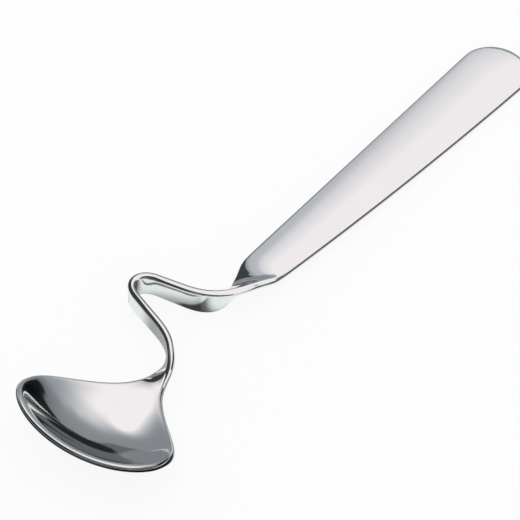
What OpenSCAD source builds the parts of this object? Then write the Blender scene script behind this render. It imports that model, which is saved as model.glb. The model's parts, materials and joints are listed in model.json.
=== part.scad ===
// Honey spoon pressed and bent from one strip of stainless steel.
// A long tapered handle runs into a narrow neck that stands on its edge. The neck
// doubles back on itself in a hook that hangs on the rim of a jar, and then turns
// flat again into a bowl that is wider than it is long.

/* [Handle] */
// Straight length from the round end to the first bend
handle_len = 102.5; // [80:0.5:140]
// Width across the round end
handle_end_w = 17.7; // [13:0.1:22]
// Width where the handle starts to narrow into the neck
handle_root_w = 10.8; // [8:0.2:13]
// Length of the round end
handle_end_len = 8; // [6:0.2:14]
// How far each long side bows out from a straight taper
handle_side_bow = 0.4; // [0:0.1:1.5]
// Fall of the handle towards its end, in degrees
handle_slope = 3.3; // [0:0.1:8]
// How far the middle of the handle sags below a straight line
handle_sag = 0.9; // [0:0.1:2]
// Height of the handle's crown, from its edges to its middle line
handle_crown = 0.5; // [0:0.1:1.2]
// Thickness at the round end
handle_end_t = 1.5; // [1.2:0.1:2.5]
// Length over which the width narrows to the neck strip
shoulder_len = 7.4; // [5:0.2:12]
// Distance of that narrowing ahead of the first bend
shoulder_lead = 7.2; // [4:0.2:12]

/* [Neck] */
// Thickness of the neck strip
neck_t = 1.9; // [1.4:0.1:2.5]
// Height of the strip on its edge, beside the handle
neck_h_handle = 8.4; // [5:0.2:10]
// Height of the strip at the hook
neck_h_hook = 6.4; // [4:0.2:8]
// Height of the strip beside the bowl
neck_h_bowl = 4.7; // [3.5:0.1:6]
// Angle of the first bend, away from the handle
first_turn = 78.5; // [60:0.5:90]
// Mean radius of the first bend
first_radius = 11.8; // [9:0.2:16]
// Straight run from the first bend to the hook
run_len = 7; // [3:0.5:14]
// Angle through which the hook turns back
hook_turn = 150.5; // [130:0.5:160]
// Mean radius of the hook
hook_radius = 4.4; // [4:0.1:7]
// Straight leg from the hook to the last bend
leg_len = 9.1; // [5:0.1:14]
// Mean radius of the last bend, into the bowl
last_radius = 17.2; // [12:0.2:22]
// How far the neck climbs from the handle to the bowl
neck_rise = 1.1; // [0:0.1:3]
// Length of the quarter twist out of the handle
first_twist_len = 25.6; // [16:0.2:30]
// Middle of that twist, past the start of the first bend
first_twist_at = 2.2; // [0:0.2:6]
// Length of the quarter twist into the bowl
last_twist_len = 16; // [12:0.5:20]
// Middle of that twist, past the middle of the last bend
last_twist_at = 4.6; // [2:0.2:6]

/* [Bowl] */
// Width of the bowl
bowl_w = 41.6; // [34:0.2:48]
// Length from the heel to the widest place
bowl_heel_len = 19.7; // [16:0.1:26]
// Length from the widest place to the front edge
bowl_front_len = 11; // [8:0.2:16]
// Distance ahead of the heel at which the neck starts to flare
bowl_flare_lead = 6; // [4:0.2:9]
// Depth of the hollow below its rim
bowl_depth = 8; // [5:0.2:11]
// Rise of the front rim above the heel
bowl_rise = 8.9; // [4:0.1:12]
// Thickness of the bowl
bowl_t = 1.9; // [1.4:0.1:2.4]

/* [Edges] */
// Depth of the rounded edge all round the outline
edge_round = 0.65; // [0.4:0.05:0.9]

/* [Hidden] */

// How far a bend's curvature is eased in and out, from 0 for a true arc to 1
bend_ease = 0.55;
// Angles on the two end ellipses where the sides stop and the end arcs start
handle_corner = 50;
bowl_corner = 45;
// Lengths over which the lines across the strip curve into the end arcs
handle_bow_len = 22;
bowl_bow_len = 18;
// Distance ahead of the shoulder at which the stations start to close up
shoulder_approach = 6;
// Lines across the spoon, between one edge and the other
columns = 12;
// Lines round the rounded edge
edge_steps = 3;
// Spacing of the points on the middle line
path_step = 0.25;
// Step of the differences that give the surface its direction
probe = 0.01;

// Distances along the middle line, from the handle's end at 0 to the bowl's front
function arc_len(radius, angle) = radius * angle * PI / 180;
last_turn = hook_turn - first_turn;
first_from = handle_len;
first_to = first_from + arc_len(first_radius, first_turn);
hook_from = first_to + run_len;
hook_to = hook_from + arc_len(hook_radius, hook_turn);
last_from = hook_to + leg_len;
heel = last_from + arc_len(last_radius, last_turn);
widest = heel + bowl_heel_len;
front = widest + bowl_front_len;
hook_middle = (hook_from + hook_to) / 2;
last_middle = (last_from + heel) / 2;
shoulder_from = handle_len - shoulder_lead;
flare_from = heel - bowl_flare_lead;

// Shares and blends along a stretch
function share(s, from, to) = min(1, max(0, (s - from) / (to - from)));
function blend(q) = q * q * q * (q * (6 * q - 15) + 10);
function lerp(a, b, q) = a + (b - a) * q;
function eased(q) = q - bend_ease * sin(360 * q) / (2 * PI);
function unit(v) = v / norm(v);

// Heading of the middle line seen from above, and its twist about itself
function heading(s) =
    180
    - first_turn * eased(share(s, first_from, first_to))
    + hook_turn * eased(share(s, hook_from, hook_to))
    - last_turn * eased(share(s, last_from, heel));
function twist_step(s, middle, length) = blend(share(s, middle - length / 2, middle + length / 2));
function twist(s) =
    90 * twist_step(s, handle_len + first_twist_at, first_twist_len)
    - 90 * twist_step(s, last_middle + last_twist_at, last_twist_len);

// Height of the middle line: the handle falls to its end, the bowl's rim rises to its front
function handle_height(s) =
    let (q = min(1, s / handle_len))
    -handle_len * (1 - q) * sin(handle_slope) - 4 * handle_sag * q * (1 - q);
function height(s) =
    handle_height(s)
    + neck_rise * blend(share(s, first_to, heel))
    + bowl_rise * blend(share(s, heel, front));

// Middle line seen from above, as points one step apart and between them
function direction(s) = [cos(heading(s)), sin(heading(s))];
path_count = ceil(front / path_step) + 4;
path = [
    for (i = 0, p = [0, 0]; i <= path_count; p = p + path_step * direction((i + 0.5) * path_step), i = i + 1)
        p
];
function path_point(s) =
    let (i = max(0, floor(s / path_step)), from = i * path_step)
    path[i] + (s - from) * direction((s + from) / 2);

// Half the width of the outline, squared in the bowl so that it stays smooth at the front
function handle_half(s) =
    let (q = share(s, handle_end_len, shoulder_from))
    lerp(handle_end_w, handle_root_w, q) / 2 + 4 * handle_side_bow * q * (1 - q);
function neck_half(s) =
    s < hook_middle
        ? lerp(neck_h_handle, neck_h_hook, share(s, shoulder_from, hook_middle)) / 2
        : lerp(neck_h_hook, neck_h_bowl, share(s, hook_middle, heel)) / 2;
function shoulder_blend(s) = blend(share(s, shoulder_from, shoulder_from + shoulder_len));
function strip_half(s) = lerp(handle_half(s), neck_half(s), shoulder_blend(s));
function flared_half(s) = lerp(strip_half(s), bowl_w / 2, blend(share(s, flare_from, widest)));
function half_squared(s) =
    s > widest
        ? pow(bowl_w / 2, 2) * (1 - pow((s - widest) / bowl_front_len, 2))
        : pow(flared_half(s), 2);
function end_factor(s) = sqrt(1 - pow(1 - share(s, 0, handle_end_len), 2));
function half_width(s) = end_factor(s) * sqrt(max(0, half_squared(s)));

// Crown of the handle and hollow of the bowl, most on the middle line and nothing at the edges
function crown(s, y) =
    handle_crown * (1 - shoulder_blend(s)) * (pow(end_factor(s), 2) - pow(y / handle_half(s), 2));
function hollow(s, y) =
    -bowl_depth * blend(share(s, flare_from, heel)) * (half_squared(s) - y * y) / pow(bowl_w / 2, 2);
function swell(s, y) = s < handle_len + shoulder_len ? crown(s, y) : s > flare_from ? hollow(s, y) : 0;

// Middle surface: distance s along the strip and y across it
function middle(s, y) =
    let (
        turn = heading(s),
        roll = twist(s),
        right = [sin(turn), -cos(turn), 0],
        up = [0, 0, 1],
        across = cos(roll) * right - sin(roll) * up,
        normal = cos(roll) * up + sin(roll) * right,
        at = path_point(s)
    )
    [at.x, at.y, height(s)] + y * across + swell(s, y) * normal;
function surface_normal(s, y) =
    unit(cross(
        middle(s, y + probe) - middle(s, y - probe),
        middle(s + probe, y) - middle(s - probe, y)
    ));
function thickness(s) =
    s < handle_len
        ? lerp(handle_end_t, neck_t, share(s, 0, handle_len))
        : lerp(neck_t, bowl_t, share(s, heel, widest));

// Stations along both sides, closer together where the strip bends or ends
function spread(from, to, count) = [for (i = [0 : count - 1]) lerp(from, to, i / count)];
handle_corner_at = handle_end_len * (1 - cos(handle_corner));
bowl_corner_at = widest + bowl_front_len * sin(bowl_corner);
neck_from = shoulder_from - shoulder_approach;
stations = concat(
    spread(handle_corner_at, handle_bow_len, 14),
    spread(handle_bow_len, neck_from, 10),
    spread(neck_from, first_to, 30),
    spread(first_to, hook_from, 5),
    spread(hook_from, hook_to, 14),
    spread(hook_to, last_from, 7),
    spread(last_from, heel, 20),
    spread(heel, widest, 14),
    spread(widest, bowl_corner_at, 6),
    [bowl_corner_at]
);
rows = len(stations);

// Outline as a closed loop: one side, the bowl's front, the other side, the handle's end
function front_arc(a) = [widest + bowl_front_len * sin(a), bowl_w / 2 * cos(a)];
function end_arc(a) = [handle_end_len * (1 - cos(a)), handle_end_w / 2 * sin(a)];
outline = concat(
    [for (s = stations) [s, half_width(s)]],
    [for (j = [1 : columns - 1]) front_arc(lerp(bowl_corner, 180 - bowl_corner, j / columns))],
    [for (i = [rows - 1 : -1 : 0]) [stations[i], -half_width(stations[i])]],
    [for (j = [1 : columns - 1]) end_arc(lerp(-handle_corner, handle_corner, j / columns))]
);
ring = len(outline);
inward = [
    for (k = [0 : ring - 1])
        let (
            before = unit(outline[k] - outline[(k + ring - 1) % ring]),
            after = unit(outline[(k + 1) % ring] - outline[k]),
            along = unit(before + after)
        )
        [along.y, -along.x]
];
function inset(k, depth) = outline[k] + depth * inward[k];

// Places on the outline of the four sides of the grid inside the edge loops
function plus_side(i) = i;
function front_side(j) = rows + j - 1;
function minus_side(i) = 2 * rows + columns - 2 - i;
function end_side(j) = 2 * rows + 2 * columns - 2 - j;

// Grid point: straight across between the sides, bowed into the arcs at both ends
function side_point(i, q) = lerp(inset(plus_side(i), edge_round), inset(minus_side(i), edge_round), q);
function bowed(i, last, j, arc_point, fade) =
    let (
        q = j / columns,
        off = arc_point - side_point(last, q),
        scale = (side_point(i, 0).y - side_point(i, 1).y) / (side_point(last, 0).y - side_point(last, 1).y)
    )
    fade * [off.x, off.y * scale];
function grid_point(i, j) =
    side_point(i, j / columns)
    + bowed(i, 0, j, inset(end_side(j), edge_round), 1 - share(stations[i], handle_corner_at, handle_bow_len))
    + bowed(
        i, rows - 1, j, inset(front_side(j), edge_round),
        share(stations[i], bowl_corner_at - bowl_bow_len, bowl_corner_at)
    );

// Points in the flat: the outline, its inset loops, then the grid
edge_angles = [for (k = [1 : edge_steps]) 90 * k / edge_steps];
inset_loops = [for (a = edge_angles, k = [0 : ring - 1]) concat(inset(k, edge_round * (1 - cos(a))), sin(a))];
grid = [for (i = [1 : rows - 2], j = [1 : columns - 1]) concat(grid_point(i, j), 1)];
flat_points = concat(inset_loops, grid);
flat_count = len(flat_points);

// Points in space: the outline itself, then the upper and the lower skin
function skin_point(p, side) =
    middle(p[0], p[1]) + side * p[2] * thickness(p[0]) / 2 * surface_normal(p[0], p[1]);
bent_points = concat(
    [for (p = outline) middle(p.x, p.y)],
    [for (p = flat_points) skin_point(p, 1)],
    [for (p = flat_points) skin_point(p, -1)]
);

// Numbering of the points on a skin: side 0 is the upper one, side 1 the lower one
function loop_index(side, level, k) =
    level == 0 ? k % ring : ring + side * flat_count + (level - 1) * ring + k % ring;
function grid_index(side, i, j) =
    j == 0 ? loop_index(side, edge_steps, plus_side(i))
    : j == columns ? loop_index(side, edge_steps, minus_side(i))
    : i == 0 ? loop_index(side, edge_steps, end_side(j))
    : i == rows - 1 ? loop_index(side, edge_steps, front_side(j))
    : ring + side * flat_count + edge_steps * ring + (i - 1) * (columns - 1) + j - 1;
function two_triangles(side, a, b, c, d) = side == 0 ? [[a, c, b], [a, d, c]] : [[a, b, c], [a, c, d]];
faces = [
    for (side = [0, 1]) each concat(
        [
            for (level = [0 : edge_steps - 1], k = [0 : ring - 1])
                each two_triangles(
                    side,
                    loop_index(side, level, k), loop_index(side, level, k + 1),
                    loop_index(side, level + 1, k + 1), loop_index(side, level + 1, k)
                )
        ],
        [
            for (i = [0 : rows - 2], j = [0 : columns - 1])
                each two_triangles(
                    side,
                    grid_index(side, i, j), grid_index(side, i + 1, j),
                    grid_index(side, i + 1, j + 1), grid_index(side, i, j + 1)
                )
        ]
    )
];

// Pose at rest: the bowl's underside and the handle's end both touch the ground
function turned(p, angle) = [
    p.x * cos(angle) + p.z * sin(angle),
    p.y,
    p.z * cos(angle) - p.x * sin(angle)
];
function lowest(points, angle) = min([for (p = points) turned(p, angle).z]);
handle_points = [for (p = bent_points) if (p.x > -handle_len / 2) p];
bowl_points = [for (p = bent_points) if (p.x < path_point(flare_from).x) p];
rest_span = -path_point(widest).x;
rest_rounds = 6;
function rest_angle(angle, rounds) =
    rounds == 0
        ? angle
        : rest_angle(
            angle + asin((lowest(handle_points, angle) - lowest(bowl_points, angle)) / rest_span),
            rounds - 1
        );
rest = rest_angle(0, rest_rounds);
rest_points = [for (p = bent_points) turned(p, rest)];
function span(points, axis) =
    let (values = [for (p = points) p[axis]])
    [min(values), max(values)];
x_span = span(rest_points, 0);
y_span = span(rest_points, 1);
floor_z = span(rest_points, 2)[0];
shift = [-(x_span[0] + x_span[1]) / 2, -(y_span[0] + y_span[1]) / 2, -floor_z];

module spoon() {
    color([0.80, 0.81, 0.82])
        translate(shift)
            polyhedron(points = rest_points, faces = faces, convexity = 8);
}

spoon();
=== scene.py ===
"""Honey spoon of polished stainless steel, on a pale floor in soft studio light."""

import json
import math

import bpy
from mathutils import Euler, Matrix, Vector

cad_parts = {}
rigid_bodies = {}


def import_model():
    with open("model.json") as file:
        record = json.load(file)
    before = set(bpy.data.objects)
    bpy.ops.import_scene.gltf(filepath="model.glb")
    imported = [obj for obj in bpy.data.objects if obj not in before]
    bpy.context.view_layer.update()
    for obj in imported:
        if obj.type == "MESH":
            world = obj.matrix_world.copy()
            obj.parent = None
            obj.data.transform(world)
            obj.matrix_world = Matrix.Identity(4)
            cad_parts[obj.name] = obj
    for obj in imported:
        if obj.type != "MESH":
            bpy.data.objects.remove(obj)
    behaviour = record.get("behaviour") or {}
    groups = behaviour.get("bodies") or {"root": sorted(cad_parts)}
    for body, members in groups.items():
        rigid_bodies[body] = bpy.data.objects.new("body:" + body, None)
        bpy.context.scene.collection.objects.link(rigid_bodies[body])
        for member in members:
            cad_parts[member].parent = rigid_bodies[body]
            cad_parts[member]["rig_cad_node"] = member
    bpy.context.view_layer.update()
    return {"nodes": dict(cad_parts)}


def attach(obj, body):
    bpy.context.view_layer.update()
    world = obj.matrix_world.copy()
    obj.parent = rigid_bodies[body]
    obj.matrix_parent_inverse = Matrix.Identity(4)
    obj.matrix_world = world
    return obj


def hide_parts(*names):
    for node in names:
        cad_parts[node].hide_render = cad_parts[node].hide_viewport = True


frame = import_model()

bl_info = {
    "name": "Honey spoon",
    "version": (1, 0, 0),
    "blender": (4, 5, 0),
    "location": "View3D > Sidebar > Honey spoon",
    "description": "Dresses the bent steel honey spoon and sets up its studio",
    "category": "Object",
}

BODY = "root"
NODE = "spoon"
PIECE = "polished_spoon"
SLOT = "polished_steel"
MERGE_DISTANCE = 1e-6
QUAD_BEND = math.radians(180)
QUAD_SKEW = math.radians(180)

# Unevenness of the polish: scale and detail of its cloud, and how much the cloud changes the
# roughness and the colour.
POLISH_SCALE = 60.0
POLISH_DETAIL = 3.0
ROUGHNESS_SPREAD = 0.02
COLOR_SPREAD = 0.03

# The floor is white to the camera, with a small share of matt that keeps the shadow. In the steel
# it glows with its own painted light and tint, in place of the light that falls on it.
FLOOR_WHITE = 0.9
FLOOR_GLOW = 0.98
FLOOR_TINT = (0.93, 0.99, 0.985)
# Painted shade: part of the floor's light that the steel loses where it mirrors the floor twice.
TWICE_LOSS = 0.68
# A ray's depth lies below these after one mirroring, on the floor or a panel and in the sky.
ONCE_ON_FLOOR = 1.5
ONCE_IN_SKY = 2.5

# Painted shade on the floor, seen only in the steel, which darkens the steel's mirror image of
# the
# floor round and under the spoon: depth, then the sides of the patch, which sets in and ends
# along x and sets in and ends along y, in millimetres. Each side is the start and end of a soft
# edge, and
# None leaves it open.
PAINTED_FLOOR_SHADE = {
    "beyond the bowl": (0.94, None, (-63, -56), None, None),
    "beside the bowl": (0.94, None, (-20, -10), None, (-19, -13)),
    "beside the handle": (0.93, (-20, -10), (120, 160), (-90, -50), (-10, -4)),
    "behind the root": (0.85, (-10.5, -7.5), (160, 220), (13, 18), (220, 300)),
    "foot of the run": (0.85, (-30.6, -29.8), (-22, -16), (2, 5), (11, 14)),
    "under the run": (0.6, (-33.3, -29.7), (-22, -16), (5, 6.5), (24, 28)),
    "line by the run": (0.8, (-35.7, -34.7), (-22, -16), (5, 6.5), (24, 28)),
    "under the leg": (0.55, None, (-37, -35), None, None),
}
# Ring round the bowl that bounds its painted shade: middle, half length and half width of the
# bowl in millimetres, and the soft inner and outer edge in bowl sizes.
BOWL_MIDDLE = -67
BOWL_HALF_LENGTH = 19.5
BOWL_HALF_WIDTH = 22.9
RING_INNER = (1.0, 1.2)
RING_OUTER = (4.2, 6.5)
# Slanting painted dark line by the run and slanting edge of the painted shade under the leg: a
# place on each, how far x goes back for each step of y, and the soft edge across it.
LINE_PLACE = (-33.2, 10.2)
LINE_SLANT = 0.14
LINE_EDGE = (0.25, 0.45)
LEG_PLACE = (-38.8, 16.4)
LEG_SLANT = 0.4
LEG_EDGE = (-1.4, 2.8)

# Soft lights of the studio: azimuth and elevation in degrees, narrowness, strength.
SOFT_LIGHTS = (
    (174, 87, 17, 0.78),
    (87, 55, 52, 1.02),
    (7, 51, 27, 0.35),
    (-30, -8, 27, -1.50),
)
BASE_LIGHT = 0.30
LEAST_LIGHT = 0.02
FULL_LIGHT = 1.08
# Colour of the studio's light, from its dark parts to its bright ones.
LIGHT_TINT = (
    (0.0, (0.85, 0.95, 1.0)),
    (0.45, (0.94, 0.99, 1.06)),
    (0.9, (1.0, 0.965, 0.975)),
)
PLAIN_LIGHT = 0.95
# Parts of the studio: the azimuth of each one's middle, and the soft edge to both sides of it, in
# degrees. RISE and TOP are soft edges of elevation in degrees, but for the front, whose top edge
# slants and is given by the direction square to it.
FRONT = (-12, (20, 28))
FRONT_TOP = (-0.156, 0.571, 0.806)
FRONT_EDGE = (-0.004, 0.016)
FRONT_DEPTH = 0.9
FILL = (-70, (26, 36))
FILL_RISE = (2, 14)
FILL_LIGHT = 0.2
WALL = (200, (98, 103))
WALL_TOP = (57, 62)
WALL_LIGHT = 0.045
# Lighter parts of the wall: where, the elevation at which each sets in, and its added light.
WALL_PARTS = (
    ((190, (28, 36)), (5, 25), 0.13),
    ((-105, (36, 46)), (2, 14), 0.11),
)
# Painted dark reflection: a darker stand-in for the handle's side of the studio, which the steel
# shows only where it mirrors the sky twice.
AGAIN_SIDE = (-5, (52, 58))
AGAIN_BACK = (-100, (112, 124))
AGAIN_RISE = (16, 26)
AGAIN_TOP = (38, 41)
AGAIN_DARK = 0.025
AGAIN_LIGHT = 0.16

# White panel that leans over the handle, in metres: a glowing plane seen only in the steel, which
# paints the light and shade that the handle and root show. It shows only from below.
PANEL_SIZE = 4.0
PANEL_PLACE = (-0.050, 0.0, 0.0125)
PANEL_LEAN = math.radians(35)
PANEL_WHITE = (1.0, 0.95, 0.955)
PANEL_GLOW = 1.06
# Painted shades of its far side, which the handle and root show as their darker reflections,
# fanned out from the middle of its low edge, as shares of the fan.
# FAN_EDGE is where they set in along that edge.
PANEL_PAINTED_SHADES = (
    (0.21, PANEL_WHITE),
    (0.32, (0.76, 0.76, 0.79)),
    (0.38, (0.55, 0.56, 0.60)),
    (0.47, (0.51, 0.54, 0.57)),
    (0.57, (0.38, 0.41, 0.43)),
    (0.64, (0.33, 0.37, 0.38)),
    (0.67, (0.05, 0.055, 0.06)),
)
FAN_WIDTH = 0.61
FAN_EDGE = (0.042, 0.062)
# Near the handle the fan's dark shades come in earlier by this much, from these shares of it on.
FAN_SHIFT = 0.1
FAN_SHIFT_SHARE = (0.46, 0.56)
FAN_SHIFT_END = (0.075, 0.12)
# Painted dark strip along the panel's low edge, which the neck shows as a dark reflection: its
# width at the narrow end, how much it grows and where, its soft edge, and its shade with the
# paler patch at the narrow end.
STRIP_WIDTH = 0.0171
STRIP_GROWTH = 0.02928
STRIP_SLANT = (0.018, 0.046)
STRIP_EDGE = (-0.001, 0.001)
STRIP_TINT = (1.0, 1.03, 1.05)
STRIP_DARK = 0.045
STRIP_PALE = 0.12
STRIP_PALE_END = (0.0115, 0.0135)
STRIP_PALE_RISE = (0.0075, 0.0095)
PANEL_LOW_EDGE = (0.0, 0.0001)

# Small white card beside the neck, in metres: a glowing plane seen only in the steel, as a
# painted highlight on the neck.
CARD_PLACE = (-0.0062, -0.0448, 0.0225)
CARD_TURN = math.radians(32.5)
CARD_SIZE = (0.057, 0.055)
CARD_HIGHLIGHT = (1.0, 0.99, 0.99, 1.0)

MM_IN_METRE = 1000
WHITE = (1.0, 1.0, 1.0, 1.0)
SENSOR_WIDTH = 36.0
NEAREST = 0.05
FARTHEST = 20.0


class Wire:
    """A socket of a node tree. Sums and products of wires add their Math nodes."""

    def __init__(self, tree, socket=None):
        self.tree = tree
        self.socket = socket

    def node(self, kind, settings=None, inputs=None, output=0):
        """Adds a node, with its settings first and then the values or wires of its sockets."""
        made = self.tree.nodes.new(kind)
        for name, value in (settings or {}).items():
            if name == "stops":
                set_stops(made.color_ramp, value)
            else:
                setattr(made, name, value)
        for key, value in (inputs or {}).items():
            if isinstance(value, Wire):
                self.tree.links.new(value.socket, made.inputs[key])
            else:
                made.inputs[key].default_value = value
        return Wire(self.tree, made.outputs[output] if made.outputs else None)

    def math(self, operation, *values):
        return self.node("ShaderNodeMath", {"operation": operation}, dict(enumerate(values)))

    def __add__(self, other):
        return self.math("ADD", self, other)

    def __radd__(self, other):
        return self.math("ADD", other, self)

    def __sub__(self, other):
        return self.math("SUBTRACT", self, other)

    def __rsub__(self, other):
        return self.math("SUBTRACT", other, self)

    def __mul__(self, other):
        return self.math("MULTIPLY", self, other)

    def __rmul__(self, other):
        return self.math("MULTIPLY", other, self)

    def __truediv__(self, other):
        return self.math("DIVIDE", self, other)

    def __pow__(self, power):
        return self.math("POWER", self, power)

    def rise(self, edge):
        """0 before a soft edge and 1 past it."""
        settings = {"interpolation_type": "SMOOTHSTEP"}
        return self.node("ShaderNodeMapRange", settings, {0: self, 1: edge[0], 2: edge[1]})

    def fall(self, edge):
        """1 before a soft edge and 0 past it."""
        return 1 - self.rise(edge)

    def scaled(self, color, factor):
        """A colour made brighter or darker by a factor."""
        settings = {"operation": "SCALE"}
        inputs = {0: color, "Scale": factor}
        return self.node("ShaderNodeVectorMath", settings, inputs, output="Vector")

    def ramp(self, stops, factor):
        """A colour that runs through the stops as the factor grows."""
        settings = {"stops": stops}
        return self.node("ShaderNodeValToRGB", settings, {"Fac": factor}, output="Color")

    def place(self):
        """The x and y of a place on the object."""
        spot = self.node("ShaderNodeTexCoord", output="Object")
        parts = self.node("ShaderNodeSeparateXYZ", inputs={0: spot}).socket.node.outputs
        return Wire(self.tree, parts["X"]), Wire(self.tree, parts["Y"])

    def ray(self, question):
        """What the Light Path node says of the ray that meets the surface."""
        return self.node("ShaderNodeLightPath", output=question)

    def shine(self, color, strength=1.0):
        """A shader that glows in a colour, at which a strength of 1 is plain."""
        return self.node("ShaderNodeEmission", inputs={"Color": color, "Strength": strength})

    def mix(self, factor, first, second):
        return self.node("ShaderNodeMixShader", inputs={0: factor, 1: first, 2: second})


def set_stops(ramp, stops):
    """Colour stops of a ramp, each a position and a colour."""
    while len(ramp.elements) < len(stops):
        ramp.elements.new(1.0)
    for element, (position, color) in zip(ramp.elements, stops):
        element.position = position
        element.color = (*color, 1.0)


def new_material(name):
    """An empty node material and the wire that starts its tree."""
    material = bpy.data.materials.new(name)
    material.use_nodes = True
    material.node_tree.nodes.clear()
    return material, Wire(material.node_tree)


def sky_direction(azimuth, elevation):
    """Unit vector toward a place in the sky, from its azimuth and elevation in degrees."""
    turn, rise = math.radians(azimuth), math.radians(elevation)
    level = math.cos(rise)
    return Vector((level * math.cos(turn), level * math.sin(turn), math.sin(rise)))


def deselect():
    bpy.ops.object.select_all(action="DESELECT")


class SpoonSettings(bpy.types.PropertyGroup):
    """Finish of the spoon."""

    smoothing: bpy.props.IntProperty(
        name="Smoothing",
        description="Subdivision levels of the spoon's surface",
        default=2,
        min=0,
        max=2,
    )
    steel_color: bpy.props.FloatVectorProperty(
        name="Steel",
        description="Colour of the polished steel",
        subtype="COLOR",
        size=3,
        default=(0.81, 0.81, 0.812),
        min=0.0,
        max=1.0,
    )
    roughness: bpy.props.FloatProperty(
        name="Roughness",
        description="Roughness of the polish",
        subtype="FACTOR",
        default=0.05,
        min=0.0,
        max=1.0,
    )


class StageSettings(bpy.types.PropertyGroup):
    """Floor, light and camera."""

    camera_azimuth: bpy.props.FloatProperty(
        name="Camera azimuth",
        description="Direction of view round the spoon, 0 along +Y",
        subtype="ANGLE",
        default=math.radians(-48.93),
    )
    camera_elevation: bpy.props.FloatProperty(
        name="Camera elevation",
        description="Height of the view above the horizon",
        subtype="ANGLE",
        default=math.radians(47.38),
    )
    camera_roll: bpy.props.FloatProperty(
        name="Camera roll",
        description="Turn of the camera about its line of sight",
        subtype="ANGLE",
        default=math.radians(-1.68),
    )
    camera_distance: bpy.props.FloatProperty(
        name="Camera distance",
        description="Distance from the camera to the point that it looks at",
        unit="LENGTH",
        default=1.330,
    )
    camera_lens: bpy.props.FloatProperty(
        name="Lens",
        description="Focal length in millimetres on a 36 mm sensor",
        default=391.8,
    )
    camera_aim: bpy.props.FloatVectorProperty(
        name="Camera aim",
        description="Point that the camera looks at",
        subtype="TRANSLATION",
        unit="LENGTH",
        size=3,
        default=(-0.01057, 0.00185, 0.00825),
        precision=5,
    )
    floor_size: bpy.props.FloatProperty(
        name="Floor size",
        description="Side of the square floor",
        unit="LENGTH",
        default=6.0,
    )
    floor_color: bpy.props.FloatVectorProperty(
        name="Floor",
        description="Colour of the pale floor",
        subtype="COLOR",
        size=3,
        default=(0.88, 0.88, 0.88),
        min=0.0,
        max=1.0,
    )


def steel_material(settings):
    """Mirror-polished stainless steel with faint unevenness in its polish."""
    material, start = new_material(SLOT)
    spot = start.node("ShaderNodeTexCoord", output="Object")
    inputs = {"Vector": spot, "Scale": POLISH_SCALE, "Detail": POLISH_DETAIL}
    cloud = start.node("ShaderNodeTexNoise", inputs=inputs)
    evenness = 1 - COLOR_SPREAD / 2 + COLOR_SPREAD * cloud
    shader = start.node(
        "ShaderNodeBsdfPrincipled",
        inputs={
            "Base Color": start.scaled(settings.steel_color, evenness),
            "Metallic": 1.0,
            "Roughness": settings.roughness + ROUGHNESS_SPREAD * cloud,
        },
    )
    start.node("ShaderNodeOutputMaterial", inputs={"Surface": shader})
    return material


class OBJECT_OT_polished_spoon(bpy.types.Operator):
    """Makes the spoon's smooth polished surface from the bent strip"""

    bl_idname = "object.polished_spoon"
    bl_label = "Polished spoon"

    def execute(self, context):
        settings = context.scene.spoon_settings
        piece = self.copy_of_strip(context)
        self.join_into_quads()
        self.smooth(piece, settings.smoothing)
        piece.data.materials.clear()
        piece.data.materials.append(steel_material(settings))
        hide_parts(NODE)
        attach(piece, BODY)
        return {"FINISHED"}

    def copy_of_strip(self, context):
        """A free copy of the strip's mesh, under its own name."""
        deselect()
        strip = frame["nodes"][NODE]
        strip.select_set(True)
        context.view_layer.objects.active = strip
        bpy.ops.object.duplicate()
        piece = context.view_layer.objects.active
        bpy.ops.object.parent_clear(type="CLEAR_KEEP_TRANSFORM")
        del piece["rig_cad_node"]
        piece.name = PIECE
        piece.data.name = PIECE
        return piece

    def join_into_quads(self):
        """Loose triangles become one closed skin of four-sided faces."""
        bpy.ops.object.mode_set(mode="EDIT")
        bpy.ops.mesh.select_all(action="SELECT")
        bpy.ops.mesh.remove_doubles(threshold=MERGE_DISTANCE)
        bpy.ops.mesh.tris_convert_to_quads(face_threshold=QUAD_BEND, shape_threshold=QUAD_SKEW)
        bpy.ops.mesh.normals_make_consistent(inside=False)
        bpy.ops.mesh.customdata_custom_splitnormals_clear()
        bpy.ops.object.mode_set(mode="OBJECT")

    def smooth(self, piece, levels):
        """Subdivides the skin, so that reflections run over it without a break."""
        modifier = piece.modifiers.new("Smooth skin", "SUBSURF")
        modifier.levels = levels
        modifier.render_levels = levels
        bpy.ops.object.modifier_apply(modifier=modifier.name)
        bpy.ops.object.shade_smooth()


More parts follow.
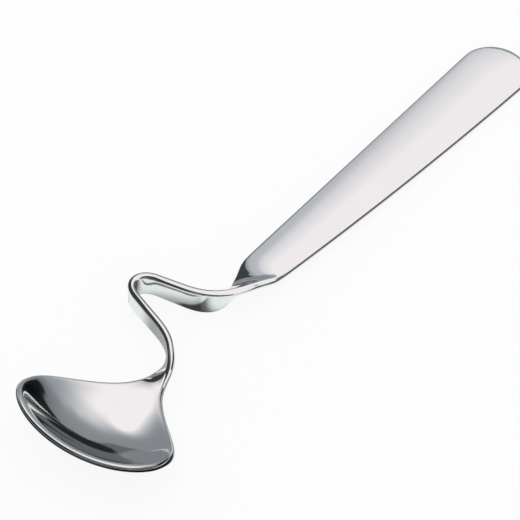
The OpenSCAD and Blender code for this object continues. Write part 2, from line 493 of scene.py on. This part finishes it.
class SCENE_OT_studio(bpy.types.Operator):
    """Makes the pale floor, the soft light and the camera"""

    bl_idname = "scene.studio"
    bl_label = "Studio"

    def execute(self, context):
        settings = context.scene.stage_settings
        context.scene.view_settings.view_transform = "Standard"
        self.make_floor(context, settings)
        self.make_world(context)
        self.make_panel(context)
        self.make_highlight_card(context)
        self.make_camera(context, settings)
        return {"FINISHED"}

    def make_floor(self, context, settings):
        """Pale floor that keeps the spoon's shadow and shows painted light and shade in the
        steel.
        """
        deselect()
        bpy.ops.mesh.primitive_plane_add(size=settings.floor_size)
        floor = context.active_object
        floor.name = "floor"
        material, start = new_material("pale_floor")
        matt = start.node("ShaderNodeBsdfDiffuse", inputs={"Color": (*settings.floor_color, 1.0)})
        # In the steel the floor glows with painted light, darkened by its painted shade.
        pale = start.shine(start.scaled(FLOOR_TINT, self.floor_glow(start)))
        shader = start.mix(FLOOR_WHITE * start.ray("Is Camera Ray"), matt, start.shine(WHITE))
        shader = start.mix(start.ray("Is Glossy Ray"), shader, pale)
        start.node("ShaderNodeOutputMaterial", inputs={"Surface": shader})
        floor.data.materials.append(material)

    def floor_glow(self, start):
        """Painted light that the floor gives to the steel, less its painted shade."""
        x, y = (part * MM_IN_METRE for part in start.place())
        along = (x - BOWL_MIDDLE) / BOWL_HALF_LENGTH
        from_bowl = start.math("SQRT", along ** 2 + (y / BOWL_HALF_WIDTH) ** 2)
        ring = from_bowl.rise(RING_INNER) * from_bowl.fall(RING_OUTER)
        line = start.math("ABSOLUTE", x - LINE_PLACE[0] + LINE_SLANT * (y - LINE_PLACE[1]))
        leg = LEG_PLACE[0] - x + LEG_SLANT * (LEG_PLACE[1] - y)
        shapes = {
            "beyond the bowl": ring,
            "beside the bowl": ring,
            "line by the run": line.fall(LINE_EDGE),
            "under the leg": leg.rise(LEG_EDGE),
        }
        glow = FLOOR_GLOW
        # Each patch of painted shade darkens the floor's painted light in the steel.
        for name, (depth, x_in, x_end, y_in, y_end) in PAINTED_FLOOR_SHADE.items():
            painted_shade = shapes.get(name, 1.0)
            for place, sets_in, ends in ((x, x_in, x_end), (y, y_in, y_end)):
                if sets_in:
                    painted_shade = painted_shade * place.rise(sets_in)
                if ends:
                    painted_shade = painted_shade * place.fall(ends)
            glow = glow * (1 - depth * painted_shade)
        # Painted shade where the steel mirrors the floor twice.
        twice = start.math("GREATER_THAN", start.ray("Ray Depth"), ONCE_ON_FLOOR)
        return glow * (1 - TWICE_LOSS * twice)

    def make_world(self, context):
        """White for the camera and the floor, the studio's lights and walls for the steel."""
        world = bpy.data.worlds.new("studio")
        world.use_nodes = True
        world.node_tree.nodes.clear()
        start = Wire(world.node_tree)
        light = self.studio_light(start)
        color = start.scaled(start.ramp(LIGHT_TINT, light), light)
        studio = start.node("ShaderNodeBackground", inputs={"Color": color, "Strength": 1.0})
        inputs = {"Color": WHITE, "Strength": PLAIN_LIGHT}
        plain = start.node("ShaderNodeBackground", inputs=inputs)
        surface = start.mix(start.ray("Is Glossy Ray"), plain, studio)
        start.node("ShaderNodeOutputWorld", inputs={"Surface": surface})
        context.scene.world = world

    def studio_light(self, start):
        """Brightness of the studio in each direction, as the steel shows it."""
        toward = start.node("ShaderNodeTexCoord", output="Generated")

        def along(direction):
            settings = {"operation": "DOT_PRODUCT"}
            inputs = {0: toward, 1: direction}
            return start.node("ShaderNodeVectorMath", settings, inputs, output="Value")

        x, y, z = along((1, 0, 0)), along((0, 1, 0)), along((0, 0, 1))
        elevation = start.math("ARCSINE", z) * math.degrees(1)

        def near(part):
            """1 round the azimuth of a part of the studio and 0 past its edge on both sides."""
            azimuth, edge = part
            turn = math.radians(azimuth)
            ahead = math.cos(turn) * x + math.sin(turn) * y
            aside = math.cos(turn) * y - math.sin(turn) * x
            turned = start.math("ABSOLUTE", start.math("ARCTAN2", aside, ahead))
            return (turned * math.degrees(1)).fall(edge)

        light = BASE_LIGHT
        for azimuth, rise, narrowness, strength in SOFT_LIGHTS:
            facing = 0.5 + 0.5 * along(sky_direction(azimuth, rise))
            light = light + strength * facing ** narrowness
        light = start.math("MINIMUM", start.math("MAXIMUM", light, LEAST_LIGHT), FULL_LIGHT)

        front = along(FRONT_TOP).fall(FRONT_EDGE) * near(FRONT)
        light = light * (1 - FRONT_DEPTH * front)
        light = start.math("MAXIMUM", light, FILL_LIGHT * near(FILL) * elevation.rise(FILL_RISE))

        wall_light = WALL_LIGHT
        for part, sets_in, added in WALL_PARTS:
            wall_light = wall_light + added * near(part) * elevation.rise(sets_in)
        light = light + near(WALL) * elevation.fall(WALL_TOP) * (wall_light - light)

        # Where the steel mirrors the sky twice, the handle's side shows painted dark reflection.
        twice = start.math("GREATER_THAN", start.ray("Ray Depth"), ONCE_IN_SKY)
        away = start.math("MINIMUM", 1 - near(AGAIN_BACK) + elevation.rise(AGAIN_RISE), 1.0)
        again = AGAIN_DARK + AGAIN_LIGHT * away * elevation.fall(AGAIN_TOP)
        return light + twice * near(AGAIN_SIDE) * (again - light)

    def make_panel(self, context):
        """White panel that leans over the handle, seen only in the steel as painted light and
        shade.
        """
        deselect()
        bpy.ops.mesh.primitive_plane_add(
            size=PANEL_SIZE,
            location=PANEL_PLACE,
            rotation=(0.0, -PANEL_LEAN, 0.0),
        )
        panel = context.active_object
        bpy.ops.object.mode_set(mode="EDIT")
        bpy.ops.mesh.select_all(action="SELECT")
        bpy.ops.mesh.flip_normals()
        bpy.ops.object.mode_set(mode="OBJECT")
        material, start = new_material("reflection_panel")
        along, across = start.place()
        share = across / along * FAN_WIDTH
        shift = FAN_SHIFT * share.rise(FAN_SHIFT_SHARE) * across.fall(FAN_SHIFT_END)
        plain = start.shine((*PANEL_WHITE, 1.0), PANEL_GLOW)
        # Painted shades of the handle and root, fanned out over the panel.
        fanned = start.shine(start.ramp(PANEL_PAINTED_SHADES, share + shift), PANEL_GLOW)
        glow = start.mix(across.rise(FAN_EDGE), plain, fanned)
        # Painted dark strip beside the neck, with a paler patch at its narrow end.
        pale = across.fall(STRIP_PALE_END) * along.rise(STRIP_PALE_RISE)
        strip = start.shine(start.scaled(STRIP_TINT, STRIP_DARK + STRIP_PALE * pale))
        past_strip = along - STRIP_WIDTH - STRIP_GROWTH * across.rise(STRIP_SLANT)
        glow = start.mix(past_strip.rise(STRIP_EDGE), strip, glow)
        once = start.math("LESS_THAN", start.ray("Ray Depth"), ONCE_ON_FLOOR)
        self.show_in_steel(panel, material, start, along.rise(PANEL_LOW_EDGE) * once, glow)

    def make_highlight_card(self, context):
        """Small white card beside the neck, seen only in the steel as a painted highlight."""
        deselect()
        bpy.ops.mesh.primitive_plane_add(
            size=1.0,
            location=CARD_PLACE,
            rotation=(-math.pi / 2, 0.0, -CARD_TURN),
        )
        card = context.active_object
        card.scale = (*CARD_SIZE, 1.0)
        material, start = new_material("highlight_card")
        # The card glows only in the steel, as a painted highlight on the neck.
        self.show_in_steel(card, material, start, 1.0, start.shine(CARD_HIGHLIGHT))

    def show_in_steel(self, plane, material, start, shown, glow):
        """Finishes a plane that glows on its front and is clear elsewhere. It shows only in the
        steel, as painted reflection that lights nothing.
        """
        front = 1 - start.node("ShaderNodeNewGeometry", output="Backfacing")
        clear = start.node("ShaderNodeBsdfTransparent")
        surface = start.mix(front * shown, clear, glow)
        start.node("ShaderNodeOutputMaterial", inputs={"Surface": surface})
        plane.name = material.name
        plane.visible_camera = False
        plane.visible_diffuse = False
        plane.visible_shadow = False
        plane.data.materials.append(material)

    def make_camera(self, context, settings):
        """Camera that looks down at the spoon from its bowl's side."""
        azimuth = settings.camera_azimuth
        elevation = settings.camera_elevation
        flat = math.cos(elevation)
        height = math.sin(elevation)
        back = Vector((math.sin(azimuth) * flat, -math.cos(azimuth) * flat, height))
        place = Vector(settings.camera_aim) + settings.camera_distance * back
        turn = Euler((math.pi / 2 - elevation, 0.0, azimuth)).to_matrix()
        roll = Euler((0.0, 0.0, settings.camera_roll)).to_matrix()
        deselect()
        bpy.ops.object.camera_add(location=place, rotation=(turn @ roll).to_euler())
        camera = context.active_object
        camera.data.sensor_width = SENSOR_WIDTH
        camera.data.lens = settings.camera_lens
        camera.data.clip_start = NEAREST
        camera.data.clip_end = FARTHEST
        context.scene.camera = camera


class VIEW3D_PT_honey_spoon(bpy.types.Panel):
    """Lists the spoon's settings and its steps"""

    bl_label = "Honey spoon"
    bl_space_type = "VIEW_3D"
    bl_region_type = "UI"
    bl_category = "Honey spoon"

    def draw(self, context):
        for group in (context.scene.spoon_settings, context.scene.stage_settings):
            for name in group.bl_rna.properties.keys():
                if name not in ("rna_type", "name"):
                    self.layout.prop(group, name)
        for operator in OPERATORS:
            self.layout.operator(operator.bl_idname)


OPERATORS = (OBJECT_OT_polished_spoon, SCENE_OT_studio)
CLASSES = (SpoonSettings, StageSettings, *OPERATORS, VIEW3D_PT_honey_spoon)


def register():
    for cls in CLASSES:
        bpy.utils.register_class(cls)
    bpy.types.Scene.spoon_settings = bpy.props.PointerProperty(type=SpoonSettings)
    bpy.types.Scene.stage_settings = bpy.props.PointerProperty(type=StageSettings)


def unregister():
    del bpy.types.Scene.stage_settings
    del bpy.types.Scene.spoon_settings
    for cls in reversed(CLASSES):
        bpy.utils.unregister_class(cls)


def main():
    register()
    bpy.ops.object.polished_spoon()
    bpy.ops.scene.studio()


if __name__ == "__main__":
    main()
